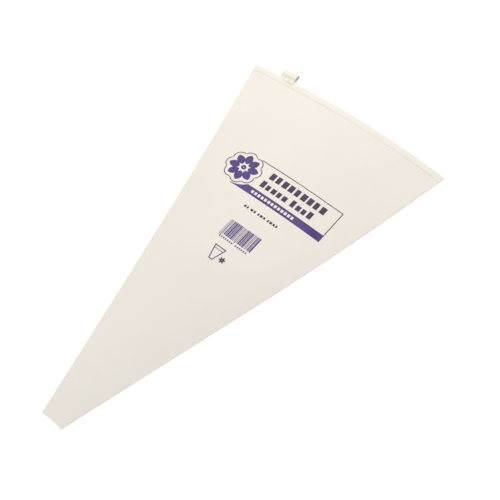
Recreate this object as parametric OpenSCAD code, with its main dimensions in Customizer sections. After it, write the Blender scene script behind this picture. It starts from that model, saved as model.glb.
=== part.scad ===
// A soft piping bag, lying flat with its front up. One sheet of coated nylon is folded along
// the left side, sewn along the right side, turned over at the mouth and cut off at the tip.
// +Y runs from the tip to the mouth, +X to the seam, +Z up. The origin is under the middle.

/* [Bag] */
// Length from the tip to the middle of the mouth
bag_l = 336.4; // [250:0.1:450]
// Width of the flat bag at the mouth
mouth_w = 190.6; // [140:0.2:260]
// Width of the flat bag at the tip
tip_w = 19; // [14:0.2:30]
// How far the middle of the mouth stands past its corners
mouth_rise = 3; // [0:0.1:8]
// How far the seam's end of the mouth stands past the middle of a straight cut
mouth_slant = 0.6; // [0:0.1:2]
// How far the cut at the tip curves in
tip_dip = 0.6; // [0:0.1:2]
// How far each side swells past a straight line
side_bulge = 0.6; // [0:0.1:4]
// How far each side draws in towards the tip and out towards the mouth
side_wave = 0.3; // [0:0.1:2]
// How far the middle of the bag lies to the right
side_bow = 2.5; // [0:0.1:5]
// How much of that bow lies nearer the mouth
bow_wave = 0.4; // [0:0.1:2]

/* [Cloth] */
// Thickness of one leaf of the cloth
cloth_t = 0.5; // [0.3:0.05:0.8]
// Height of the space between the two leaves
cavity_h = 5.4; // [4:0.1:12]
// Gap between the leaves at the tip
tip_gap = 0.4; // [0.2:0.1:2]
// Length over which the space grows from the tip
swell_l = 150; // [80:5:220]

/* [Hem and seam] */
// Width of the turned hem
hem_w = 7; // [3:0.5:10]
// Thickness of the turned hem
hem_t = 1; // [0.8:0.1:2]
// Width of the side seam
seam_w = 3; // [2:0.5:6]
// Thickness of the side seam
seam_t = 1.6; // [1.2:0.1:2.5]
// Width of the flat fold on the left side
fold_w = 2; // [1:0.5:4]

/* [Folds] */
// Distance from the tip to the line where the tip end folds over
tip_fold = 60; // [50:1:90]
// Distance from the tip to the line where the mouth end folds over
mouth_fold = 268; // [250:1:290]
// Gap between the cloth pieces at a fold line
fold_gap = 0.6; // [0.4:0.1:1]

/* [Hanging loop] */
// Width of the loop's tape
tape_w = 14.6; // [10:0.2:25]
// Thickness of the loop's tape
tape_t = 0.6; // [0.4:0.1:1]
// Place of the loop along the mouth
loop_x = -62.7; // [-80:0.1:80]
// How far the loop stands out of the hem
loop_reach = 9.1; // [8.5:0.1:14]
// Inner radius of the loop's round end
loop_r = 2.8; // [2.6:0.1:3.2]

/* [Stitching] */
// Length of one stitch
stitch_l = 2.4; // [1.5:0.1:4]
// Distance from one stitch to the next
stitch_pitch = 3.2; // [2.5:0.1:6]
// Thickness of the thread
thread_t = 0.3; // [0.2:0.05:0.5]

/* [Print] */
// Thickness of the ink
ink_t = 0.1; // [0.05:0.05:0.2]
// Left end of the printed plate, at the middle of its rosette
rosette_x = -32.2; // [-40:0.1:-20]
// Distance from the tip to the middle of the rosette
rosette_y = 240.4; // [230:0.1:243]
// Outer radius of the rosette
rosette_r = 15.9; // [10:0.1:18]
// Right end of the printed plate
plate_right = 54.3; // [40:0.1:60]

/* [Hidden] */

CLOTH = [0.93, 0.91, 0.87];
HEM = [0.96, 0.94, 0.90];
TAPE = [0.95, 0.93, 0.89];
THREAD = [0.98, 0.97, 0.94];
INK = [0.30, 0.24, 0.55];

origin_y = 172.1;                 // distance from the tip to the origin
corner_y = bag_l - mouth_rise;    // distance from the tip to the mouth's corners
cols = 12;                        // strips across a leaf, beside the flat fold
lift = 0.04;                      // clearance of ink, thread and tape above the cloth
tape_clear = 0.35;                // clearance between the loop and its sewn tails
stitch_clear = 1;                 // distance of the stitches from a fold line or an edge
front_margin = 4;                 // length at each end of the front hem without stitches
back_margin = 12;                 // the same on the back hem, where the front hem comes down

// ---- Shape of the bag: y is the distance from the tip ----
function half_w(y) = tip_w / 2 + (mouth_w - tip_w) / 2 * y / corner_y
    + side_bulge * sin(180 * y / corner_y) - side_wave * sin(360 * y / corner_y);
function mid_x(y) = side_bow * sin(180 * y / corner_y) - bow_wave * sin(360 * y / corner_y);
function left_x(y) = mid_x(y) - half_w(y);
function right_x(y) = mid_x(y) + half_w(y);
function seam_x(y) = right_x(y) - seam_w;
// x at the share v of the way from the flat fold to the seam
function across_x(y, v) = left_x(y) + fold_w + v * (seam_x(y) - left_x(y) - fold_w);
function share_at(x, y) = (x - left_x(y) - fold_w) / (seam_x(y) - left_x(y) - fold_w);
// Column -1 is the left edge, column 0 the inner edge of the flat fold, column cols the seam.
function col_x(y, i) = i < 0 ? left_x(y) : across_x(y, i / cols);
function arch(v) = v <= 0 || v >= 1 ? 0 : 4 * v * (1 - v);
function cavity(y) = tip_gap + (cavity_h - tip_gap) * (1 - pow(1 - min(1, y / swell_l), 2));

// Lines across the bag, as the distance from the tip at each column
function edge_y(x) = let (u = 2 * x / mouth_w) corner_y + mouth_rise * (1 - u * u) + mouth_slant * u;
tip_line = function (i) tip_dip * arch(i / cols);
mouth_line = function (i) edge_y(col_x(corner_y, i));
hem_line = function (i) mouth_line(i) - hem_w;
function fold_line(y) = function (i) y;

// Heights of the leaves' lower faces
flat = function (y, i) 0;
raised = function (y, i) cloth_t + cavity(y) * arch(i / cols);
function hem_low(y, v) = hem_t + (cavity(y) + cloth_t - hem_t) * arch(v);
raised_hem = function (y, i) hem_low(y, i / cols);

module in_place() {
    translate([0, -origin_y, 0]) children();
}

// A closed sheet over a grid of points place(r, i) = [x, y], from height low(y, i) up by thick
module sheet(rows, first, last, place, low, thick) {
    n = last - first + 1;
    layer = (rows + 1) * n;
    spots = [for (r = [0:rows], i = [first:last]) let (p = place(r, i)) [p.x, p.y, low(p.y, i)]];
    points = concat(spots, [for (p = spots) p + [0, 0, thick]]);
    faces = concat(
        [for (r = [0:rows - 1], i = [0:n - 2]) let (a = r * n + i)
            each [[a, a + 1, a + n + 1], [a, a + n + 1, a + n]]],
        [for (r = [0:rows - 1], i = [0:n - 2]) let (a = layer + r * n + i)
            each [[a, a + n, a + n + 1], [a, a + n + 1, a + 1]]],
        [for (i = [0:n - 2]) [i, i + layer, i + 1 + layer, i + 1]],
        [for (i = [0:n - 2]) let (a = rows * n + i) [a, a + 1, a + 1 + layer, a + layer]],
        [for (r = [0:rows - 1]) let (a = r * n) [a, a + n, a + n + layer, a + layer]],
        [for (r = [0:rows - 1]) let (a = r * n + n - 1) [a, a + layer, a + n + layer, a + n]]
    );
    polyhedron(points, faces);
}

// One leaf between two lines across the bag
module leaf(from, to, rows, low, thick) {
    function spot(r, i) = let (y = from(i) + (to(i) - from(i)) * r / rows) [col_x(y, i), y];
    in_place() sheet(rows, -1, cols, function (r, i) spot(r, i), low, thick);
}

// The seam's strip between two distances from the tip, with a corner at each given y
module seam_strip(ys) {
    in_place() sheet(
        len(ys) - 1, 0, 1,
        function (r, i) [i == 0 ? seam_x(ys[r]) : right_x(ys[r]), ys[r]], flat, seam_t
    );
}

function steps(a, b, n) = [for (r = [0:n]) a + (b - a) * r / n];

// Stitches along the middle of the seam's strip
module seam_stitches(from, to) {
    count = floor((to - from - stitch_l) / stitch_pitch);
    in_place() for (k = [0:count]) {
        y = from + stitch_l / 2 + k * stitch_pitch;
        turn = atan2(right_x(y + 1) - right_x(y - 1), 2);
        translate([right_x(y) - seam_w / 2, y, seam_t + lift])
            rotate([0, 0, -turn]) thread_bar(thread_t, stitch_l);
    }
}

module thread_bar(wide, long) {
    translate([-wide / 2, -long / 2, 0]) cube([wide, long, thread_t / 2]);
}

// Stitches along the hem, lying on a surface of height top(y, v), except under the hidden stretch
module hem_stitches(top, margin, hidden = [0, 0]) {
    left = left_x(corner_y) + margin;
    right = seam_x(corner_y) - margin;
    count = floor((right - left) / stitch_pitch);
    spots = [for (k = [0:count]) left + k * stitch_pitch];
    in_place() for (x = [for (x = spots) if (x < hidden[0] || x > hidden[1]) x]) {
        y = edge_y(x) - hem_w + stitch_clear;
        turn = edge_y(x + 1) - edge_y(x);
        rise = top(y, share_at(x + 1, y)) - top(y, share_at(x, y));
        translate([x, y, top(y, share_at(x, y)) + lift])
            rotate([0, -atan(rise), 90 + atan(turn)]) thread_bar(thread_t, stitch_l);
    }
}

// ---- Bag between the two fold lines ----
main_rows = 10;
end_rows = 4;

module back_panel() {
    color(CLOTH) leaf(fold_line(tip_fold + fold_gap / 2), fold_line(mouth_fold - fold_gap / 2),
        main_rows, flat, cloth_t);
}

module front_panel() {
    color(CLOTH) leaf(fold_line(tip_fold + fold_gap / 2), fold_line(mouth_fold - fold_gap / 2),
        main_rows, raised, cloth_t);
}

module side_seam() {
    color(CLOTH) seam_strip(steps(tip_fold + fold_gap / 2, mouth_fold - fold_gap / 2, main_rows));
}

module side_seam_stitches() {
    color(THREAD) seam_stitches(tip_fold + stitch_clear, mouth_fold - stitch_clear);
}

// ---- Mouth end ----
module back_panel_mouth_end() {
    color(CLOTH) leaf(fold_line(mouth_fold + fold_gap / 2), hem_line, end_rows, flat, cloth_t);
}

module front_panel_mouth_end() {
    color(CLOTH) leaf(fold_line(mouth_fold + fold_gap / 2), hem_line, end_rows, raised, cloth_t);
}

module side_seam_mouth_end() {
    panel = steps(mouth_fold + fold_gap / 2, hem_line(cols), end_rows);
    color(CLOTH) seam_strip(concat(panel, [mouth_line(cols)]));
}

module side_seam_stitches_mouth_end() {
    color(THREAD) seam_stitches(mouth_fold + stitch_clear, mouth_line(cols) - stitch_clear);
}

module mouth_hem_back() {
    color(HEM) leaf(hem_line, mouth_line, 1, flat, hem_t);
}

module mouth_hem_front() {
    color(HEM) leaf(hem_line, mouth_line, 1, raised_hem, hem_t);
}

module hem_stitches_back() {
    color(THREAD) hem_stitches(function (y, v) hem_t, back_margin);
}

module hem_stitches_front() {
    under_tape = [loop_x - tape_w / 2 - stitch_l, loop_x + tape_w / 2 + stitch_l];
    color(THREAD) hem_stitches(function (y, v) hem_low(y, v) + hem_t, front_margin, under_tape);
}

// ---- Hanging loop: a tape folded over the front hem, one tail on each face of it ----
loop_edge = edge_y(loop_x);
loop_share = share_at(loop_x, loop_edge);
loop_turn = atan(edge_y(loop_x + 1) - loop_edge);
loop_slope = atan(hem_low(loop_edge, share_at(loop_x + 1, loop_edge))
    - hem_low(loop_edge, loop_share));
loop_z = hem_low(loop_edge, loop_share) + hem_t / 2;
tail_l = hem_w - 0.2;             // length of a tail, which lies on the hem
leg_h = hem_t / 2 + 5 * lift;     // height of the tape's inner face where it leaves the hem
shoulder = 3;                     // distance from the hem at which the legs run parallel
loop_end = loop_reach - loop_r - tape_t;

// Local X along the hem, Y out of the mouth, Z up, with the origin at the middle of the hem's edge
module at_loop() {
    in_place() translate([loop_x, loop_edge, loop_z])
        rotate([0, -loop_slope, loop_turn]) children();
}

module along_tape(wide) {
    rotate([90, 0, 90]) linear_extrude(wide, center = true) children();
}

module loop_profile(grow) {
    translate([loop_end, 0]) circle(r = loop_r + grow, $fn = 64);
    polygon([
        [tape_clear, -leg_h - grow], [shoulder, -loop_r - grow], [loop_end, -loop_r - grow],
        [loop_end, loop_r + grow], [shoulder, loop_r + grow], [tape_clear, leg_h + grow]
    ]);
}

module hanging_loop() {
    color(TAPE) at_loop() along_tape(tape_w) difference() {
        loop_profile(tape_t);
        loop_profile(0);
        translate([-1, -leg_h]) square([1 + tape_clear + lift, 2 * leg_h]);
    }
}

module loop_tails() {
    color(TAPE) at_loop() for (side = [-1, 1])
        translate([-tape_w / 2, -tail_l, side * (leg_h + tape_t / 2) - tape_t / 2])
            cube([tape_w, tail_l, tape_t]);
}

module loop_bar_tack() {
    bars = 9;
    spread = tape_w - 4;
    color(THREAD) at_loop() for (k = [0:bars - 1])
        translate([(k / (bars - 1) - 0.5) * spread, -tail_l / 2, leg_h + tape_t + lift])
            rotate([0, 0, k % 2 == 0 ? 12 : -12]) thread_bar(thread_t, tail_l - 1.2);
}

// ---- Printed label: a rosette, a plate of blocks, bars and a nozzle sign, all generic ----
plate_left = -24.5;
plate_low = 223;
plate_top = 255;
stripe_h = 6.8;
line_w = 0.8;
petals = 8;
petal_foot = 3.6;                 // distance from the rosette's middle to the foot of a petal
petal_w = 6.2;
ring_r = 0.38 * rosette_r;        // radius of each scallop of the rosette's border

module block(x, y, wide, high) {
    translate([x, y]) square([wide, high]);
}

module block_row(count, pitch, x, y, wide, high) {
    for (k = [0:count - 1]) block(x + k * pitch, y, wide, high);
}

// A ring of overlapping discs, which gives a scalloped edge
module scallops(r) {
    for (k = [0:petals - 1])
        rotate(360 / petals * k) translate([rosette_r - ring_r, 0]) circle(r = r, $fn = 32);
}

function petal_side(side) = [for (t = side > 0 ? [0:0.2:1] : [0.8:-0.2:0.2])
    [petal_foot + (0.82 * rosette_r - petal_foot) * t, side * petal_w / 2 * pow(sin(180 * t), 0.7)]];

module rosette() {
    translate([rosette_x, rosette_y]) rotate(8) {
        difference() {
            scallops(ring_r);
            scallops(ring_r - line_w);
            circle(r = rosette_r - ring_r, $fn = 32);
        }
        for (k = [0:petals - 1]) rotate(360 / petals * k)
            polygon(concat(petal_side(1), petal_side(-1)));
        circle(r = 2.2, $fn = 16);
    }
}

module plate() {
    stripe_left = rosette_x + 0.7;
    stripe_top = plate_low + stripe_h;
    block(plate_left, plate_top - line_w, plate_right - plate_left, line_w);
    block(plate_right - line_w, stripe_top, line_w, plate_top - stripe_top);
    block(stripe_left, plate_low, plate_right - stripe_left, stripe_h);
}

// Rows of plain blocks where a label has its words
module word_blocks() {
    block_row(9, 6.05, -10, 244, 4.3, 6);
    block_row(5, 5.3, -11.5, 234, 3.8, 5.4);
    block_row(4, 5.3, 17.6, 234, 3.8, 5.4);
    block_row(6, 5.4, -8.7, 211.6, 3.8, 2.2);
}

module bar_block() {
    block_row(12, 2.5, -7.8, 181.5, 1.2, 15.5);
}

// A nozzle seen from the side, with a star beside it for the shape that it makes
module nozzle_sign() {
    difference() {
        polygon([[-3.4, 173], [6.8, 173], [3.5, 160.2], [-0.1, 160.2]]);
        polygon([[-2.3, 172.1], [5.7, 172.1], [2.8, 161.1], [0.6, 161.1]]);
    }
    translate([9.4, 164.6]) polygon([for (k = [0:11])
        (k % 2 == 0 ? 2.8 : 1.3) * [sin(30 * k), cos(30 * k)]]);
}

module printed_label() {
    low = 157;
    high = 259;
    rows = 4;
    color(INK) in_place() intersection() {
        linear_extrude(20) {
            rosette();
            plate();
            word_blocks();
            bar_block();
            nozzle_sign();
        }
        sheet(rows, 0, cols,
            function (r, i) let (y = low + (high - low) * r / rows) [col_x(y, i), y],
            function (y, i) raised(y, i) + cloth_t + lift, ink_t);
    }
}

// ---- Tip end ----
module back_panel_tip_end() {
    color(CLOTH) leaf(tip_line, fold_line(tip_fold - fold_gap / 2), end_rows, flat, cloth_t);
}

module front_panel_tip_end() {
    color(CLOTH) leaf(tip_line, fold_line(tip_fold - fold_gap / 2), end_rows, raised, cloth_t);
}

module side_seam_tip_end() {
    color(CLOTH) seam_strip(steps(0, tip_fold - fold_gap / 2, end_rows));
}

module side_seam_stitches_tip_end() {
    color(THREAD) seam_stitches(stitch_clear, tip_fold - stitch_clear);
}

back_panel();
front_panel();
side_seam();
side_seam_stitches();
printed_label();
back_panel_mouth_end();
front_panel_mouth_end();
side_seam_mouth_end();
side_seam_stitches_mouth_end();
mouth_hem_back();
mouth_hem_front();
hem_stitches_back();
hem_stitches_front();
loop_tails();
loop_bar_tack();
hanging_loop();
back_panel_tip_end();
front_panel_tip_end();
side_seam_tip_end();
side_seam_stitches_tip_end();
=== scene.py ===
"""A soft nylon piping bag, lying flat with its front up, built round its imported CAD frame.

Shapes are worked out in millimetres as (x, s, z): s is the distance from the tip along the bag.
They become metres in the row frame only when a mesh is made."""

import math

import bpy
import numpy as np
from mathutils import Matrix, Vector


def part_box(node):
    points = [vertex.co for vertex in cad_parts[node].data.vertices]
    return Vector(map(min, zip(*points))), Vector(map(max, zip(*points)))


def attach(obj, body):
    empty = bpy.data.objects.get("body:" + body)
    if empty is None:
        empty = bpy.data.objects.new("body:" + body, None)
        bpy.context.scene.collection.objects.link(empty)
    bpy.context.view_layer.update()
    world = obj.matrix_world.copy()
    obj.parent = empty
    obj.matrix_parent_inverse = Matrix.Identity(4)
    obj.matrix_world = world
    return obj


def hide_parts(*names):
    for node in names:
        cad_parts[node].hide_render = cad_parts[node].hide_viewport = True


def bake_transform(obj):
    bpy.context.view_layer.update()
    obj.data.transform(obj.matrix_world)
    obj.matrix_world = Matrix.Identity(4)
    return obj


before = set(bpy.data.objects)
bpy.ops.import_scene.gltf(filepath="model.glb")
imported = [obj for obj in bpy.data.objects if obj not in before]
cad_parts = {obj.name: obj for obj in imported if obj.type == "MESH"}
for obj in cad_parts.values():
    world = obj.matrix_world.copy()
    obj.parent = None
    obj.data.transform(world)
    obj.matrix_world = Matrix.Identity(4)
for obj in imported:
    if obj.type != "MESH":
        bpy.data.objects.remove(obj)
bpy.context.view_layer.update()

MM = 0.001
TIP_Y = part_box("back_panel_tip_end")[0].y  # where s is 0, in the row frame

# Outline of the bag, as in its design
BAG_L = 336.4
MOUTH_W = 190.6
TIP_W = 19.0
MOUTH_RISE = 3.0
MOUTH_SLANT = 0.6
TIP_DIP = 0.6
SIDE_BULGE = 0.6
SIDE_WAVE = 0.3
SIDE_BOW = 2.5
BOW_WAVE = 0.4
CORNER_S = BAG_L - MOUTH_RISE

# Cloth
CLOTH_T = 0.3
CAVITY = 3.6  # how far the front arches up between its two edges
TIP_GAP = -0.3
SWELL_L = 150.0  # the bag swells to its full height over this length
FOLD_R_TIP = 0.25
FOLD_R_MOUTH = 0.6
SEAM_GAP = 1.0
BACK_Z = 0.2
HEM_LIFT = 0.16
HEM_SLOPE_FROM, HEM_SLOPE_L = 15.0, 8.0  # where below the mouth the lift begins, and its length

# Hem, seam, loop and thread
HEM_W = 7.0
HEM_IN = 0.3
HEM_OUT = 0.25
SEAM_IN = 1.7
TAPE_W = 14.6
TAPE_T = 0.36
LOOP_X = -62.7
LOOP_REACH = 8.5
LOOP_R = 1.5
TAIL_L = 3.0
TAIL_BULGE = 0.7  # how much fuller the hem is at its edge, where the tails lie inside it
STITCH_L = 2.4
STITCH_PITCH = 3.2
THREAD_R = 0.17
HEM_STITCH_IN = 1.0  # from the hem's lower edge to its stitches
SEAM_STITCHES_FROM = 2.5
SEAM_STITCHES_TO = CORNER_S - 7
ALLOWANCE_IN = 4.2  # how far the cut edges reach in from the right side
LOOP_FOOT = 0.2  # how far out of the hem the tape begins to bend
LOOP_FLARE_L = 3.4  # over which the loop's two legs part

# The cloth is made in two pieces, which meet this far from the tip
SPLIT_S = 150.0


# ---------------------------------------------------------------- shape of the bag


def half_w(s):
    turn = np.pi * s / CORNER_S
    straight = TIP_W / 2 + (MOUTH_W - TIP_W) / 2 * s / CORNER_S
    return straight + SIDE_BULGE * np.sin(turn) - SIDE_WAVE * np.sin(2 * turn)


def mid_x(s):
    turn = np.pi * s / CORNER_S
    return SIDE_BOW * np.sin(turn) - BOW_WAVE * np.sin(2 * turn)


def mouth_s(x):
    u = 2 * x / MOUTH_W
    return CORNER_S + MOUTH_RISE * (1 - u * u) + MOUTH_SLANT * u


def smooth(t):
    t = np.clip(t, 0, 1)
    return t * t * (3 - 2 * t)


def back_z(x, s):
    """Height of the back leaf's middle, which the hem lifts off the table near the mouth."""
    return BACK_Z + HEM_LIFT * smooth((s - mouth_s(x) + HEM_SLOPE_FROM) / HEM_SLOPE_L)


def fold_r(s):
    return FOLD_R_TIP + (FOLD_R_MOUTH - FOLD_R_TIP) * np.clip(s / SWELL_L, 0, 1)


def left_mid(s):
    return mid_x(s) - half_w(s) + CLOTH_T / 2


def right_mid(s):
    return mid_x(s) + half_w(s) - CLOTH_T / 2


def across(x, s):
    """Share of the way from the left fold to the seam."""
    left = left_mid(s) + fold_r(s)
    right = right_mid(s) - SEAM_GAP / 2
    return (x - left) / (right - left), right - left


def ripples(x, s):
    """The slack of soft cloth: long shallow waves that fan out from the tip."""
    fan = x / np.maximum(s + 60, 60)
    long_waves = 0.32 * np.sin(19 * fan + 0.9) * np.sin(s / 41 + 0.6)
    cross_waves = 0.2 * np.sin(s / 17 + 6 * fan + 2.1) * np.sin(9 * fan - 0.5)
    small_waves = 0.05 * np.sin(s / 6.3 + x / 9.1) * np.sin(x / 7.7 - s / 12.9 + 1.3)
    return (long_waves + cross_waves + small_waves) * smooth(s / 120)


def puckers(x, s):
    """Small gathers where the thread draws the cloth in, beside the hem and the seam."""
    below_hem = np.clip(mouth_s(x) - HEM_W - s, 0, None)
    inside_seam = np.clip(right_mid(s) - x, 0, None)
    at_hem = 0.1 * np.sin(2 * np.pi * x / 6.4 + np.sin(x / 8.3)) * np.exp(-below_hem / 3.5)
    at_seam = 0.06 * np.sin(2 * np.pi * s / 6.4 + np.sin(s / 9.7)) * np.exp(-((inside_seam - 3) / 2) ** 2)
    return at_hem + at_seam


def front_z(x, s):
    """Height of the front leaf's middle."""
    v, width = across(x, s)
    v = np.clip(v, 0, 1)
    inner = v * width
    ease = (1 - np.exp(-inner / 3)) * (1 - np.exp(-(width - inner) / 3))
    swell = TIP_GAP + (CAVITY - TIP_GAP) * (1 - (1 - np.clip(s / SWELL_L, 0, 1)) ** 2)
    gap = 2 * fold_r(s) * (1 - v) + SEAM_GAP * v
    arch = 4 * v * (1 - v)
    return back_z(x, s) + gap + (swell * arch + (ripples(x, s) + puckers(x, s)) * np.sqrt(arch)) * ease


def front_top(x, s):
    return front_z(x, s) + CLOTH_T / 2


# Stations of a section, from the seam along the back, round the left fold and back along the front
BACK_N, FOLD_N, FRONT_N, CURL_N = 64, 8, 120, 5


def section(s_of):
    """(x, s, z) of the cloth's middle at every station.

    s_of(x) gives a station's s from its x at the mouth, and may give an array.
    """
    parts = []
    curl = np.linspace(0, np.pi / 2, CURL_N + 1)

    def add(kind, t):
        parts.extend((kind, value) for value in t)

    add("back_curl", curl[:-1])
    add("back", np.linspace(0, 1, BACK_N + 1)[:-1])
    add("fold", np.linspace(0, np.pi, FOLD_N + 1)[:-1])
    add("front", np.linspace(0, 1, FRONT_N + 1)[:-1])
    add("front_curl", curl[::-1])
    points = []
    for kind, t in parts:
        rough_x = station_x(kind, t, CORNER_S)
        s = s_of(rough_x)
        points.append(station(kind, t, s))
    return np.array(points)  # stations, 3, rows


def station_x(kind, t, s):
    left = left_mid(s) + fold_r(s)
    right = right_mid(s) - SEAM_GAP / 2
    if kind == "back":
        return right + (left - right) * t
    if kind == "fold":
        return left - fold_r(s) * np.sin(t)
    if kind == "front":
        return left + (right - left) * t
    return right + (SEAM_GAP / 2 - 0.05) * np.cos(t)


def station(kind, t, s):
    x = station_x(kind, t, s)
    low = back_z(x, s)
    if kind == "back":
        z = low
    elif kind == "fold":
        z = low + fold_r(s) * (1 - np.cos(t))
    elif kind == "front":
        z = front_z(x, s)
    else:
        middle = SEAM_GAP / 2
        rise = (middle - 0.04) * np.sin(t)
        z = low + middle + (rise if kind == "front_curl" else -rise)
    return np.array([x, s, z])


# ---------------------------------------------------------------- meshes


def to_row(points):
    """Points (x, s, z) in millimetres, in any array shape ending in 3, as row-frame metres."""
    points = np.asarray(points, float) * MM
    return points + np.array([0, TIP_Y, 0])


def new_mesh(name, points, faces, material):
    mesh = bpy.data.meshes.new(name)
    mesh.from_pydata([tuple(p) for p in to_row(points)], [], faces)
    mesh.update()
    mesh.shade_smooth()
    mesh.set_sharp_from_angle(angle=0.7)
    mesh.materials.append(material)
    made = bpy.data.objects.new(name, mesh)
    bpy.context.scene.collection.objects.link(made)
    return made


def grid_faces(rows, cols, start=0, flip=False, wrap=False):
    """Quads between rows and columns of points numbered row by row."""
    faces = []
    for r in range(rows - 1):
        for c in range(cols if wrap else cols - 1):
            a, b = start + r * cols + c, start + r * cols + (c + 1) % cols
            quad = (a, b, b + cols, a + cols)
            faces.append(quad[::-1] if flip else quad)
    return faces


def slab(outer, inner):
    """Points and faces of a closed slab between two grids, each an array of rows, columns and 3."""
    rows, cols = outer.shape[:2]
    count = rows * cols
    faces = grid_faces(rows, cols) + grid_faces(rows, cols, count, flip=True)
    for c in range(cols - 1):
        a = (rows - 1) * cols + c
        faces.append((c + 1, c, c + count, c + 1 + count))
        faces.append((a, a + 1, a + 1 + count, a + count))
    for r in range(rows - 1):
        a, b = r * cols, r * cols + cols - 1
        faces.append((a, a + cols, a + cols + count, a + count))
        faces.append((b + cols, b, b + count, b + cols + count))
    return np.concatenate([outer.reshape(-1, 3), inner.reshape(-1, 3)]), faces


def section_normals(grid):
    """Normals in the plane of each section, pointing out of the bag. grid is rows, stations and 3."""
    along = np.gradient(grid, axis=1)
    normal = np.stack([-along[..., 2], np.zeros(along.shape[:2]), along[..., 0]], axis=-1)
    return normal / np.linalg.norm(normal, axis=-1, keepdims=True)


def ends_of(rings, sides):
    """The two faces that close a tube of rings."""
    return [tuple(range(sides))[::-1], tuple((rings - 1) * sides + k for k in range(sides))]


def tube(path, radius, sides=6):
    """Points and faces of a closed tube along a path, whose radius may vary along it."""
    path = np.asarray(path, float)
    radius = np.broadcast_to(radius, len(path))
    along = np.gradient(path, axis=0)
    along /= np.linalg.norm(along, axis=1, keepdims=True)
    up = np.array([0, 0, 1.0])
    side = np.cross(along, up)
    side /= np.linalg.norm(side, axis=1, keepdims=True)
    lift = np.cross(side, along)
    turn = 2 * np.pi * np.arange(sides) / sides
    ring = np.cos(turn)[None, :, None] * side[:, None] + np.sin(turn)[None, :, None] * lift[:, None]
    points = path[:, None] + ring * radius[:, None, None]
    faces = grid_faces(len(path), sides, wrap=True) + ends_of(len(path), sides)
    return points.reshape(-1, 3), faces


def joined(name, parts, material):
    """One object from several (points, faces) pairs."""
    points, faces, count = [], [], 0
    for part_points, part_faces in parts:
        points.append(part_points)
        faces.extend(tuple(i + count for i in f) for f in part_faces)
        count += len(part_points)
    return new_mesh(name, np.concatenate(points), faces, material)


# ---------------------------------------------------------------- materials

# Pitches of the weaves and of the thread's twist, in metres
WEAVE_PITCH = 0.00042
TWILL_PITCH = 0.0009
RIB_PITCH = 0.0006
STRAND_PITCH = 0.00035


class Nodes:
    """A small helper that builds one procedural material."""

    def __init__(self, name):
        self.material = bpy.data.materials.new(name)
        self.material.use_nodes = True
        self.tree = self.material.node_tree
        self.shader = self.tree.nodes["Principled BSDF"]
        place = self.add("ShaderNodeTexCoord")
        self.place = place.outputs["Object"]

    def add(self, kind, inputs=None, **settings):
        node = self.tree.nodes.new(kind)
        for key, value in settings.items():
            setattr(node, key, value)
        for key, value in (inputs or {}).items():
            if isinstance(value, bpy.types.NodeSocket):
                self.link(value, node.inputs[key])
            else:
                node.inputs[key].default_value = value
        return node

    def link(self, source, target):
        self.tree.links.new(source, target)

    def noise(self, scale, detail=3.0, roughness=0.55, stretch=(1, 1, 1)):
        spread = self.add("ShaderNodeMapping", {"Vector": self.place, "Scale": stretch})
        inputs = {"Vector": spread.outputs[0], "Scale": scale, "Detail": detail, "Roughness": roughness}
        return self.add("ShaderNodeTexNoise", inputs).outputs[0]

    def bands(self, direction, pitch, turn=0.0, warp=0.0):
        """Fine parallel ribs, pitch in metres."""
        turned = self.add("ShaderNodeMapping", {"Vector": self.place, "Rotation": (0, 0, turn)})
        inputs = {
            "Vector": turned.outputs[0],
            "Scale": 2 * math.pi / (20 * pitch),
            "Distortion": warp,
            "Detail": 1.0,
            "Detail Scale": 3.0,
        }
        wave = self.add("ShaderNodeTexWave", inputs, bands_direction=direction)
        return wave.outputs["Fac"]

    def math(self, operation, a, b):
        return self.add("ShaderNodeMath", {0: a, 1: b}, operation=operation).outputs[0]

    def mapped(self, value, low, high, from_low=0.0, from_high=1.0):
        inputs = {
            "Value": value, "From Min": from_low, "From Max": from_high, "To Min": low, "To Max": high
        }
        return self.add("ShaderNodeMapRange", inputs).outputs[0]

    def mix(self, share, a, b):
        node = self.add("ShaderNodeMix", data_type="RGBA")
        for socket, value in ((0, share), (6, a), (7, b)):
            if isinstance(value, bpy.types.NodeSocket):
                self.link(value, node.inputs[socket])
            else:
                node.inputs[socket].default_value = value
        return node.outputs[2]

    def bump(self, height, strength, distance, below=None):
        inputs = {"Height": height, "Strength": strength, "Distance": distance}
        if below is not None:
            inputs["Normal"] = below
        return self.add("ShaderNodeBump", inputs).outputs[0]

    def finish(self, colour, roughness, normal, **constants):
        self.link(colour, self.shader.inputs["Base Color"])
        self.link(roughness, self.shader.inputs["Roughness"])
        self.link(normal, self.shader.inputs["Normal"])
        for key, value in constants.items():
            self.shader.inputs[key.replace("_", " ")].default_value = value
        return self.material


def grey(value):
    return (value, value, value, 1)


def coated_cloth(name, light, dark, yellowed):
    """Fine plain weave under a thin smooth coating."""
    n = Nodes(name)
    clouds = n.noise(11, 4)
    stains = n.mapped(n.noise(26, 5, 0.65), 0, 1, 0.52, 0.78)
    tone = n.mix(n.mapped(clouds, 0, 1, 0.3, 0.7), light, dark)
    tone = n.mix(n.math("MULTIPLY", stains, 0.35), tone, yellowed)
    weft = n.bands("X", WEAVE_PITCH, warp=0.35)
    warp = n.bands("Y", WEAVE_PITCH, warp=0.35)
    weave = n.math("ADD", weft, warp)
    slubs = n.noise(900, 2, 0.6, (1, 0.12, 1))
    normal = n.bump(weave, 0.16, 0.00006)
    normal = n.bump(slubs, 0.12, 0.00008, normal)
    normal = n.bump(n.noise(140, 4), 0.1, 0.0006, normal)
    # painted shade: the tone is greyed a little where the weave is low, in its grooves
    tone = n.mix(n.mapped(weave, 0.05, 0, 0, 1.1), tone, grey(0.45))
    roughness = n.mapped(n.noise(60, 4), 0.46, 0.6)
    return n.finish(
        tone, roughness, normal, Sheen_Weight=0.12, Sheen_Roughness=0.4, Specular_IOR_Level=0.35,
        Subsurface_Weight=0.2, Subsurface_Radius=(1.0, 0.95, 0.85), Subsurface_Scale=0.0015,
    )


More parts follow.
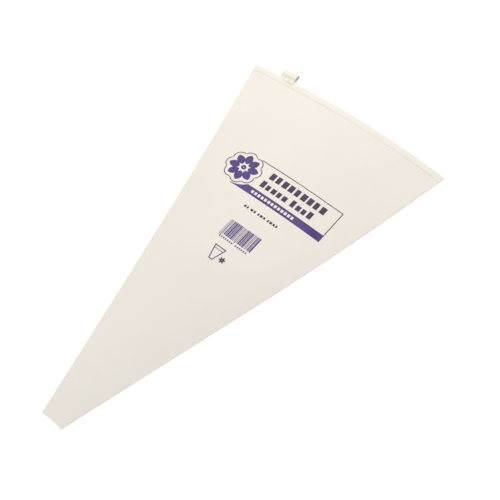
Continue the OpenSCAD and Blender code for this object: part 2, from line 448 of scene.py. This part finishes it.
def woven_tape(name, light, dark):
    """Ribbed tape with a diagonal twill."""
    n = Nodes(name)
    twill = n.bands("DIAGONAL", TWILL_PITCH, turn=0.6)
    ribs = n.bands("X", RIB_PITCH)
    weave = n.math("ADD", twill, ribs)
    tone = n.mix(n.mapped(n.noise(70, 4), 0, 1, 0.35, 0.65), light, dark)
    # painted shade: the tone is greyed where the twill and ribs are low, in their grooves
    tone = n.mix(n.mapped(weave, 0.16, 0, 0, 1.2), tone, grey(0.4))
    normal = n.bump(weave, 0.35, 0.00012)
    normal = n.bump(n.noise(500, 3), 0.15, 0.0001, normal)
    roughness = n.mapped(n.noise(120, 3), 0.62, 0.78)
    return n.finish(tone, roughness, normal, Sheen_Weight=0.25, Sheen_Roughness=0.5)


def twisted_thread(name, light, dark):
    n = Nodes(name)
    strands = n.bands("DIAGONAL", STRAND_PITCH, turn=0.8)
    # painted shade: the thread is dark in the grooves between its strands and light on their crests
    tone = n.mix(strands, dark, light)
    normal = n.bump(strands, 0.4, 0.00006)
    roughness = n.mapped(n.noise(300, 2), 0.4, 0.55)
    return n.finish(tone, roughness, normal, Sheen_Weight=0.2)


def stamped_ink(name, deep, faded):
    """Ink that lies thinner in places, with the weave showing through."""
    n = Nodes(name)
    patches = n.mapped(n.noise(55, 5, 0.6), 0, 1, 0.38, 0.66)
    grain = n.mapped(n.noise(1500, 2), 0, 1, 0.45, 0.75)
    tone = n.mix(patches, deep, faded)
    tone = n.mix(n.math("MULTIPLY", grain, 0.3), tone, faded)
    normal = n.bump(n.noise(1100, 2), 0.1, 0.00005)
    roughness = n.mapped(patches, 0.5, 0.62)
    return n.finish(tone, roughness, normal, Specular_IOR_Level=0.3)


# ---------------------------------------------------------------- pieces


def rows_between(start, end, pitch, close_start=False, close_end=False):
    """Shares from 0 to 1, with an extra row close to an end that meets another piece."""
    count = max(3, round((end - start) / pitch))
    t = list(np.linspace(0, 1, count + 1))
    small = 0.2 / (end - start)
    if close_start:
        t.insert(1, small)
    if close_end:
        t.insert(-1, 1 - small)
    return np.array(t)


def cloth_piece(name, start, end, shares, material):
    """Cloth between two lines across the bag, start(x) and end(x) being their distances from the tip."""

    def s_of(x):
        return start(x) + (end(x) - start(x)) * shares

    grid = np.transpose(section(s_of), (2, 0, 1))
    normal = section_normals(grid)
    outer = grid + normal * CLOTH_T / 2
    inner = grid - normal * CLOTH_T / 2
    points, faces = slab(outer, inner)
    return new_mesh(name, points, faces, material)


def make_cloth(material):
    upper = cloth_piece(
        "bag_cloth_upper",
        lambda x: SPLIT_S + 0 * x,
        lambda x: mouth_s(x) - 0.5,
        rows_between(SPLIT_S, BAG_L, 1.6, close_start=True),
        material,
    )
    lower = cloth_piece(
        "bag_cloth_tip",
        lambda x: TIP_DIP * (1 - np.clip(abs(x) / (MOUTH_W / 2), 0, 1) ** 2),
        lambda x: SPLIT_S + 0 * x,
        rows_between(0, SPLIT_S, 1.5, close_end=True),
        material,
    )
    return upper, lower


def hem_path(count=150):
    """Stations all the way round the mouth, from the seam along the back and home along the front."""
    curl = np.linspace(0, np.pi / 2, 5)
    path = [("back_curl", a) for a in curl[:-1]]
    path += [("back", t) for t in np.linspace(0, 1, count + 1)[:-1]]
    path += [("fold", a) for a in np.linspace(0, np.pi, 9)[:-1]]
    path += [("front", t) for t in np.linspace(0, 1, count + 1)[:-1]]
    path += [("front_curl", a) for a in curl[:0:-1]]
    return path


def hem_outline():
    """Cross-section of the turned hem as (distance below the mouth edge, height out of the bag)."""
    turned, inside, outside = 0.25, 0.2, 0.3  # radii at the turned edge and at the lower edge
    corners = [  # centre, radius, and first and last angle
        (turned, HEM_OUT - turned, turned, 90, 180),
        (turned, -HEM_IN + turned, turned, 180, 270),
        (HEM_W - inside, -HEM_IN + inside, inside, 270, 360),
        (HEM_W - outside, HEM_OUT - outside, outside, 0, 90),
    ]
    # points along both faces, so that the hem follows the waves of the cloth
    down = HEM_W * np.array([0.25, 0.5, 0.75])
    faces = {1: [(b, -HEM_IN) for b in down], 3: [(b, HEM_OUT) for b in down[::-1]]}
    outline = []
    for k, (b, a, radius, first, last) in enumerate(corners):
        for angle in np.radians(np.linspace(first, last, 5)):
            outline.append((b + radius * math.cos(angle), a + radius * math.sin(angle)))
        outline += faces.get(k, [])
    return np.array(outline)


def hem_frame(kind, t):
    """Middle of the hem's edge at a station, and the direction out of the bag there."""
    rough_x = station_x(kind, t, CORNER_S)
    s = mouth_s(rough_x)
    here = station(kind, t, s)
    if kind == "fold":
        out = np.array([-math.sin(t), 0, -math.cos(t)])
    elif kind.endswith("curl"):
        out = np.array([math.cos(t), 0, math.sin(t) if kind == "front_curl" else -math.sin(t)])
        out *= 1 - 0.45 * math.cos(t)  # thinner round the seam
    else:
        step = 0.4
        ahead = station_z(kind, here[0] + step, s)
        slope = (ahead - station_z(kind, here[0] - step, s)) / (2 * step)
        out = np.array([-slope, 0, 1.0]) if kind == "front" else np.array([slope, 0, -1.0])
        out /= np.linalg.norm(out)
    return here, out


def station_z(kind, x, s):
    return back_z(x, s) if kind == "back" else front_z(x, s)


def hem_fullness(kind, x, below):
    """How much thicker the hem is over the loop's tails, which are sewn between its layers."""
    if kind != "front":
        return 1.0
    beside = smooth((TAPE_W / 2 + 2.5 - abs(x - LOOP_X)) / 2.0)
    return 1 + TAIL_BULGE * float(beside) * (1 - below / HEM_W)


def make_hem(material):
    outline = hem_outline()
    rings = []
    for kind, t in hem_path():
        here, out = hem_frame(kind, t)
        # small uneven swellings along the hem
        swell = 1 + 0.06 * math.sin(here[0] / 2.1 + math.sin(here[0] / 5.0))
        ring = []
        for b, a in outline:
            thick = a * hem_fullness(kind, here[0], b) * (swell if a > 0 else 1)
            ring.append(station(kind, t, here[1] - b) + out * thick)
        rings.append(ring)
    count = len(outline)
    faces = grid_faces(len(rings) + 1, count, wrap=True, flip=True)
    faces = [tuple(i % (len(rings) * count) for i in face) for face in faces]
    return new_mesh("mouth_hem", np.array(rings).reshape(-1, 3), faces, material)


def stitch(a, b, up, rise=0.16):
    """One stitch from a to b that dips into the cloth at both ends. up points out of the cloth."""
    dip = 0.12
    t = np.linspace(0, 1, 7)[:, None]
    arc = np.sin(np.pi * t) ** 0.6
    path = np.asarray(a) * (1 - t) + np.asarray(b) * t + np.asarray(up) * (arc * rise - dip)
    return tube(path, THREAD_R * (0.72 + 0.28 * arc[:, 0]))


def hem_stitches(kind, first_x, last_x):
    parts = []
    for x in np.arange(first_x, last_x, STITCH_PITCH):
        ends = []
        for end_x in (x - STITCH_L / 2, x + STITCH_L / 2):
            s = mouth_s(end_x)
            z = station_z(kind, end_x, s) + (HEM_OUT if kind == "front" else HEM_IN)
            ends.append(np.array([end_x, s - HEM_W + HEM_STITCH_IN, z]))
        parts.append(stitch(ends[0], ends[1], (0, 0, 1)))
    return parts


def seam_stitches(first, last):
    parts = []
    for s in np.arange(first, last, STITCH_PITCH):
        ends = []
        for end_s in (s - STITCH_L / 2, s + STITCH_L / 2):
            x = right_mid(end_s) + CLOTH_T / 2 - SEAM_IN
            ends.append(np.array([x, end_s, front_top(x, end_s)]))
        parts.append(stitch(ends[0], ends[1], (0, 0, 1)))
    return parts


def seam_allowance(name, first, last, material):
    """The cut edges of the cloth, which lie together inside the bag along the seam."""
    s = np.linspace(first, last, max(4, int((last - first) / 3)))
    right = right_mid(s)
    clear = 0.03  # to the cloth above and below
    low = back_z(right - 2, s) + CLOTH_T / 2 + clear
    wave = 0.25 * np.sin(s / 5.1) + 0.2 * np.sin(s / 2.3 + 1)
    inner_x, outer_x = right - ALLOWANCE_IN + wave, right - 0.35
    top = low + SEAM_GAP - CLOTH_T - 2 * clear
    top = np.minimum(top, front_z(inner_x, s) - CLOTH_T / 2 - clear)
    corner = 0.15
    profile = [
        (inner_x, low + corner), (inner_x + corner, low), (outer_x - corner, low),
        (outer_x, low + corner), (outer_x, top - corner), (outer_x - corner, top),
        (inner_x + corner, top), (inner_x, top - corner),
    ]
    rings = np.stack([np.stack([x, s, z], axis=1) for x, z in profile], axis=1)
    faces = grid_faces(len(s), len(profile), wrap=True) + ends_of(len(s), len(profile))
    return new_mesh(name, rings.reshape(-1, 3), faces, material)


class Loop:
    """Frame at the hem's edge under the hanging loop: X along the hem, Y out of the mouth, Z up."""

    def __init__(self):
        step = 1.0
        s = mouth_s(LOOP_X)
        rise = front_z(LOOP_X + step, s) - front_z(LOOP_X - step, s)
        turn = mouth_s(LOOP_X + step) - mouth_s(LOOP_X - step)
        self.along = np.array([2 * step, turn, rise])
        self.along /= np.linalg.norm(self.along)
        self.out = np.cross([0, 0, 1], self.along)
        self.out /= np.linalg.norm(self.out)
        self.up = np.cross(self.along, self.out)
        middle = (HEM_OUT - HEM_IN) / 2
        self.origin = np.array([LOOP_X, s, front_z(LOOP_X, s) + middle])

    def at(self, x, y, z):
        return self.origin + self.along * x + self.out * y + self.up * z


def loop_line():
    """Middle line of the tape in the loop's Y and Z, from the outer tail's end to the inner tail's."""
    leg = TAPE_T / 2 + 0.01  # the two tails lie almost together
    radius = LOOP_R + TAPE_T / 2
    end = LOOP_REACH - LOOP_R - TAPE_T
    tail = [(y, leg) for y in np.linspace(-TAIL_L, LOOP_FOOT, 8)]
    flare = [
        (LOOP_FOOT + LOOP_FLARE_L * t, leg + (radius - leg) * float(smooth(t)))
        for t in np.linspace(0, 1, 9)[1:]
    ]
    turn = [
        (end + radius * math.cos(a), radius * math.sin(a)) for a in np.radians(np.linspace(90, 0, 10))
    ]
    upper = tail + flare + turn
    return np.array(upper + [(y, -z) for y, z in upper[-2::-1]])


def make_tape(loop, material):
    line = loop_line()
    along = np.gradient(line, axis=0)
    along /= np.linalg.norm(along, axis=1, keepdims=True)
    normal = np.stack([-along[:, 1], along[:, 0]], axis=1)
    edge = TAPE_T / 2
    rim = np.radians(np.linspace(-90, 90, 5))
    half = TAPE_W / 2 - edge
    rings = []
    for (y, z), n in zip(line, normal):
        profile = [(half + edge * math.cos(a), edge * math.sin(a)) for a in rim]
        profile += [(x, edge * (1 + 0.03 * math.sin(x * 3))) for x in np.linspace(half, -half, 15)[1:-1]]
        profile += [(-half - edge * math.cos(a), edge * math.sin(a)) for a in rim[::-1]]
        profile += [(x, -edge * (1 + 0.03 * math.sin(x * 3))) for x in np.linspace(-half, half, 15)[1:-1]]
        rings.append([loop.at(x, y + n[0] * a, z + n[1] * a) for x, a in profile])
    rings = np.array(rings)
    count = rings.shape[1]
    faces = grid_faces(len(rings), count, wrap=True, flip=True)
    faces += [face[::-1] for face in ends_of(len(rings), count)]
    return new_mesh("hanging_loop_tape", rings.reshape(-1, 3), faces, material)


def make_bar_tack(loop, material):
    """A zigzag of close stitches on the hem, over the tape's tails."""
    spread, strands, tall = TAPE_W - 3.2, 24, 2.0
    below = TAIL_L * 0.6  # from the mouth's edge to the middle of the bar
    top = (HEM_IN + HEM_OUT) / 2 * hem_fullness("front", LOOP_X, below)
    parts = []
    for k in range(strands):
        x = (k / (strands - 1) - 0.5) * spread
        step = spread / (strands - 1) * (0.5 if k % 2 == 0 else -0.5)
        low, high = -below - tall / 2, -below + tall / 2
        parts.append(stitch(loop.at(x - step, low, top), loop.at(x + step, high, top), loop.up, 0.14))
    return joined("loop_bar_tack_thread", parts, material)


# ---------------------------------------------------------------- printed label

INK_UNDER, INK_OVER = 0.03, 0.035
PLATE_LEFT, PLATE_RIGHT, PLATE_LOW, PLATE_TOP = -24.5, 54.3, 223.0, 255.0
STRIPE_H, LINE_W = 6.8, 0.72
ROSETTE_X, ROSETTE_S, ROSETTE_R = -32.2, 240.4, 15.9
PETALS, ROSETTE_TURN = 8, 8  # number of petals, and the first one's angle in degrees
INK_STEP = 1.2  # longest step in a block's grid, so that it follows the cloth


def ink_patch(x, s):
    """A thin slab of ink on the front, over a grid of (x, s)."""
    top = front_top(x, s)
    outer = np.stack([x, s, top + INK_OVER], axis=-1)
    inner = np.stack([x, s, top - INK_UNDER], axis=-1)
    return slab(outer, inner)


def block(x, s, wide, high):
    """A block of ink with its lower left corner at (x, s)."""
    cols = int(wide / INK_STEP) + 2
    rows = int(high / INK_STEP) + 2
    u, v = np.meshgrid(np.linspace(0, 1, cols), np.linspace(0, 1, rows))
    return ink_patch(x + wide * u, s + high * v)


def wedge(x, s, inner, outer, first, last):
    """Part of a ring, between two radii and two angles in degrees."""
    cols = int((last - first) / 6) + 2
    rows = int((outer - inner) / INK_STEP) + 2
    angle, radius = np.meshgrid(np.radians(np.linspace(last, first, cols)), np.linspace(inner, outer, rows))
    return ink_patch(x + radius * np.cos(angle), s + radius * np.sin(angle))


def petal(x, s, angle, inner, outer, wide):
    """A pointed petal from inner to outer, along an angle in degrees."""
    u, v = np.meshgrid(np.linspace(-1, 1, 7), np.linspace(0, 1, 12))
    along = inner + (outer - inner) * v
    beside = u * wide / 2 * (np.sin(np.pi * v) ** 0.7 + 0.02)
    turn = math.radians(angle)
    px = along * math.cos(turn) + beside * math.sin(turn)
    ps = along * math.sin(turn) - beside * math.cos(turn)
    return ink_patch(x + px, s + ps)


def rosette_petals():
    """A piped rosette seen from above."""
    turns = [360 / PETALS * k + ROSETTE_TURN for k in range(PETALS)]
    parts = [petal(ROSETTE_X, ROSETTE_S, turn, 3.6, ROSETTE_R * 0.82, 6.4) for turn in turns]
    return parts + [wedge(ROSETTE_X, ROSETTE_S, 0.4, 2.2, 0, 359.9)]


def scalloped_border():
    """A line of part rings round the rosette, one for each petal."""
    parts = []
    radius = 0.38 * ROSETTE_R
    for k in range(PETALS):
        turn = 360 / PETALS * k + ROSETTE_TURN
        middle = math.radians(turn)
        x = ROSETTE_X + 0.62 * ROSETTE_R * math.cos(middle)
        s = ROSETTE_S + 0.62 * ROSETTE_R * math.sin(middle)
        parts.append(wedge(x, s, radius - LINE_W, radius, turn - 60, turn + 60))
    return parts


def plate_stripe():
    """The stripe, with a row of small marks left open in it."""
    dashes, dash_w, dash_h, gap, first = 13, 2.2, 2.7, 1.0, -13.0
    low, high = PLATE_LOW, PLATE_LOW + STRIPE_H
    below, above = (low + high - dash_h) / 2, (low + high + dash_h) / 2
    # the stripe's left end follows a circle a little outside the rosette
    clear = 0.9
    u, v = np.meshgrid(np.linspace(0, 1, 14), np.linspace(0, 1, 12))
    s = low + STRIPE_H * v
    rise = np.clip(s - (ROSETTE_S - ROSETTE_R - clear), 0, None)
    start = ROSETTE_X + np.sqrt(np.clip(rise * (2 * ROSETTE_R + 2 * clear - rise), 0, None))
    parts = [ink_patch(start + (first - start) * u, s)]
    x = first
    for _ in range(dashes):
        parts.append(block(x, low, dash_w, below - low))
        parts.append(block(x, above, dash_w, high - above))
        parts.append(block(x + dash_w, low, gap, STRIPE_H))
        x += dash_w + gap
    parts.append(block(x, low, PLATE_RIGHT - x, STRIPE_H))
    return parts


def plate_lines():
    """The plate's upper and right edges."""
    stripe_top = PLATE_LOW + STRIPE_H
    return [
        block(PLATE_LEFT, PLATE_TOP - LINE_W, PLATE_RIGHT - PLATE_LEFT, LINE_W),
        block(PLATE_RIGHT - LINE_W, stripe_top, LINE_W, PLATE_TOP - LINE_W - stripe_top),
    ]


def word_blocks():
    """Plain blocks with the rhythm of words, in place of any lettering."""
    parts = []
    for k in range(9):
        wide = (4.4, 3.9, 4.6)[k % 3]
        parts.append(block(-10.0 + 6.05 * k, 243.7, wide, 6.5))
    for k in range(9):
        tall = 6.5 if k in (0, 5, 8) else 4.9
        parts.append(block(-11.5 + 5.3 * k + (2.6 if k > 4 else 0), 233.8, (3.9, 3.5)[k % 2], tall))
    x = -8.7
    for k in range(11):
        wide = (1.7, 1.4, 2.2)[k % 3]
        parts.append(block(x, 211.7, wide, 2.1))
        x += wide + (2.2 if k in (1, 3, 6) else 0.85)
    return parts


def bar_block():
    """Bars of uneven width, closer together in three groups, over a row of small marks."""
    parts = []
    x, k = -7.8, 0
    while x < 21.0:
        dense = -4.5 < x < 2.5 or 8.0 < x < 13.0 or 17.0 < x < 20.0
        wide = (0.95, 0.6, 1.25)[k % 3] if dense else (0.4, 0.55)[k % 2]
        long_bar = k in (0, 1) or 6.3 < x < 7.6 or x > 20.0
        parts.append(block(x, 181.0 if long_bar else 182.6, wide, 16.2 if long_bar else 14.6))
        x += wide + (0.35 if dense else (0.75, 0.5)[k % 2])
        k += 1
    parts += [block(-6.4 + 1.9 * k, 179.6, 1.0, 1.5) for k in range(14) if k != 7]
    return parts


def bent_line(points, wide):
    """A line of ink through (x, s) points, made of straight strokes."""
    parts = []
    for (xa, sa), (xb, sb) in zip(points, points[1:]):
        long = math.hypot(xb - xa, sb - sa)
        u, v = (xb - xa) / long, (sb - sa) / long
        ends = np.linspace(-wide / 2, long + wide / 2, int(long / 1.5) + 2)
        along, beside = np.meshgrid(ends, [-wide / 2, wide / 2])
        parts.append(ink_patch(xa + along * u - beside * v, sa + along * v + beside * u))
    return parts


def nozzle_sign():
    """A nozzle seen from the side, with a small star beside it for the shape that it makes."""
    cone = [(-3.0, 172.6), (6.4, 172.6), (3.2, 160.6), (0.2, 160.6), (-3.0, 172.6)]
    parts = bent_line(cone, 0.75) + bent_line([(-2.4, 170.2), (5.8, 170.2)], 0.5)
    for k in range(6):
        parts.append(petal(9.4, 164.6, 60 * k + 15, 0.2, 2.9, 1.3))
    return parts


def make_label(violet, dark):
    marks = rosette_petals() + plate_stripe() + bar_block()
    lines = scalloped_border() + plate_lines() + word_blocks() + nozzle_sign()
    return joined("printed_label_violet", marks, violet), joined("printed_label_dark", lines, dark)


# ---------------------------------------------------------------- camera, light and stage


# Where the camera is and what it looks at, as (x, s, z) in millimetres
EYE = (227.05, -68.84, 549.5)
LOOK_AT = (18.01, 186.76, 0.0)
LENS = 61.9
FLOOR_HALF = 60.0  # half the floor's side, in metres


def make_camera():
    """The photograph's viewing angle: high up, beyond the tip and to its right."""
    data = bpy.data.cameras.new("camera")
    data.lens, data.sensor_width = LENS, 36.0
    camera = bpy.data.objects.new("camera", data)
    bpy.context.scene.collection.objects.link(camera)
    eye = Vector(to_row(EYE))
    target = Vector(to_row(LOOK_AT))
    camera.location = eye
    camera.rotation_euler = (target - eye).to_track_quat("-Z", "Y").to_euler()
    bpy.context.scene.camera = camera


def make_lamp(name, place, target, size, watts, colour):
    data = bpy.data.lights.new(name, "AREA")
    data.shape, data.size, data.energy, data.color = "DISK", size, watts, colour
    lamp = bpy.data.objects.new(name, data)
    bpy.context.scene.collection.objects.link(lamp)
    lamp.location = place
    lamp.rotation_euler = (Vector(target) - Vector(place)).to_track_quat("-Z", "Y").to_euler()


def map_range(nodes, from_low, from_high, to_low, to_high):
    node = nodes.new("ShaderNodeMapRange")
    settings = {"From Min": from_low, "From Max": from_high, "To Min": to_low, "To Max": to_high}
    for key, value in settings.items():
        node.inputs[key].default_value = value
    return node


def make_stage():
    """A white floor in a white tent that is a little darker to one side, and one warm lamp."""
    scene = bpy.context.scene
    scene.view_settings.view_transform = "Standard"
    world = bpy.data.worlds.new("studio")
    world.use_nodes = True
    nodes, link = world.node_tree.nodes, world.node_tree.links.new
    background = nodes["Background"]
    background.inputs["Color"].default_value = (1.0, 1.0, 1.0, 1)
    place = nodes.new("ShaderNodeTexCoord")
    side = nodes.new("ShaderNodeVectorMath")
    side.operation = "DOT_PRODUCT"
    side.inputs[1].default_value = (0.75, -0.6, 0.0)
    fade = map_range(nodes, -0.3, 0.9, 0.965, 0.855)
    # down at the horizon the tent is as white as the floor, whichever side is seen
    height = nodes.new("ShaderNodeSeparateXYZ")
    rise = map_range(nodes, 0.03, 0.25, 0.0, 1.0)
    strength = map_range(nodes, 0.0, 1.0, 1.0, 0.9)
    link(place.outputs["Generated"], side.inputs[0])
    link(side.outputs["Value"], fade.inputs["Value"])
    link(place.outputs["Generated"], height.inputs[0])
    link(height.outputs["Z"], rise.inputs["Value"])
    link(rise.outputs[0], strength.inputs["Value"])
    link(fade.outputs[0], strength.inputs["To Max"])
    link(strength.outputs[0], background.inputs["Strength"])
    scene.world = world
    make_lamp("key", (-0.45, 0.75, 0.8), (0, 0.05, 0), 0.5, 4.9, (1.0, 0.86, 0.74))
    half = FLOOR_HALF
    corners = [(-half, -half, 0), (half, -half, 0), (half, half, 0), (-half, half, 0)]
    mesh = bpy.data.meshes.new("floor")
    mesh.from_pydata(corners, [], [(0, 1, 2, 3)])
    floor = bpy.data.objects.new("floor", mesh)
    scene.collection.objects.link(floor)
    paint = bpy.data.materials.new("pale_floor")
    paint.use_nodes = True
    shader = paint.node_tree.nodes["Principled BSDF"]
    shader.inputs["Base Color"].default_value = (0.93, 0.93, 0.93, 1)
    shader.inputs["Roughness"].default_value = 0.9
    shader.inputs["Specular IOR Level"].default_value = 0.1
    shader.inputs["Emission Color"].default_value = (1, 1, 1, 1)
    shader.inputs["Emission Strength"].default_value = 0.25
    mesh.materials.append(paint)


# ---------------------------------------------------------------- build

make_camera()
make_stage()

CLOTH = coated_cloth(
    "coated_nylon", (0.768, 0.737, 0.684, 1), (0.748, 0.717, 0.665, 1), (0.746, 0.702, 0.637, 1)
)
# painted shade: the hem is the bag's own nylon made a little darker, a shaded copy of it
HEM = coated_cloth("hem_nylon_painted_darker", (0.742, 0.722, 0.672, 1), (0.722, 0.702, 0.654, 1), (0.722, 0.684, 0.622, 1))
TAPE = woven_tape("loop_tape", (0.80, 0.775, 0.70, 1), (0.75, 0.72, 0.645, 1))
THREAD = twisted_thread("nylon_thread", (0.86, 0.82, 0.75, 1), (0.70, 0.65, 0.57, 1))
VIOLET = stamped_ink("violet_ink", (0.044, 0.023, 0.155, 1), (0.085, 0.055, 0.215, 1))
DARK = stamped_ink("dark_violet_ink", (0.030, 0.019, 0.056, 1), (0.06, 0.042, 0.10, 1))

upper, lower = make_cloth(CLOTH)


def across_mouth_fold(piece):
    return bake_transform(piece)


def across_tip_fold(piece):
    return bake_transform(piece)


across_mouth_fold(upper)
across_tip_fold(lower)
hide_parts("back_panel", "front_panel", "back_panel_mouth_end", "front_panel_mouth_end")
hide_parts("back_panel_tip_end", "front_panel_tip_end")

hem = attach(make_hem(HEM), "mouth_end")
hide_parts("mouth_hem_back", "mouth_hem_front")

seam_upper = across_mouth_fold(seam_allowance("side_seam_upper", SPLIT_S, CORNER_S - 1.0, CLOTH))
seam_lower = across_tip_fold(seam_allowance("side_seam_tip", 0.5, SPLIT_S, CLOTH))
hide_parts("side_seam", "side_seam_mouth_end")
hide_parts("side_seam_tip_end")

first_upper = SEAM_STITCHES_FROM + STITCH_PITCH * math.ceil(SPLIT_S / STITCH_PITCH)
upper_thread = joined("seam_thread_upper", seam_stitches(first_upper, SEAM_STITCHES_TO), THREAD)
lower_thread = joined("seam_thread_tip", seam_stitches(SEAM_STITCHES_FROM, SPLIT_S), THREAD)
across_mouth_fold(upper_thread)
across_tip_fold(lower_thread)
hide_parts("side_seam_stitches", "side_seam_stitches_mouth_end")
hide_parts("side_seam_stitches_tip_end")

hem_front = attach(joined("hem_thread_front", hem_stitches("front", -88, 88), THREAD), "mouth_end")
hem_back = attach(joined("hem_thread_back", hem_stitches("back", -82, 82), THREAD), "mouth_end")
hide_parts("hem_stitches_front")
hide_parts("hem_stitches_back")

loop = Loop()
tape = make_tape(loop, TAPE)
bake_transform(tape)
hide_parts("hanging_loop", "loop_tails")
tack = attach(make_bar_tack(loop, THREAD), "mouth_end")
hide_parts("loop_bar_tack")

label, label_lines = make_label(VIOLET, DARK)
for print_part in (label, label_lines):
    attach(print_part, "bag")
    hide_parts("printed_label")
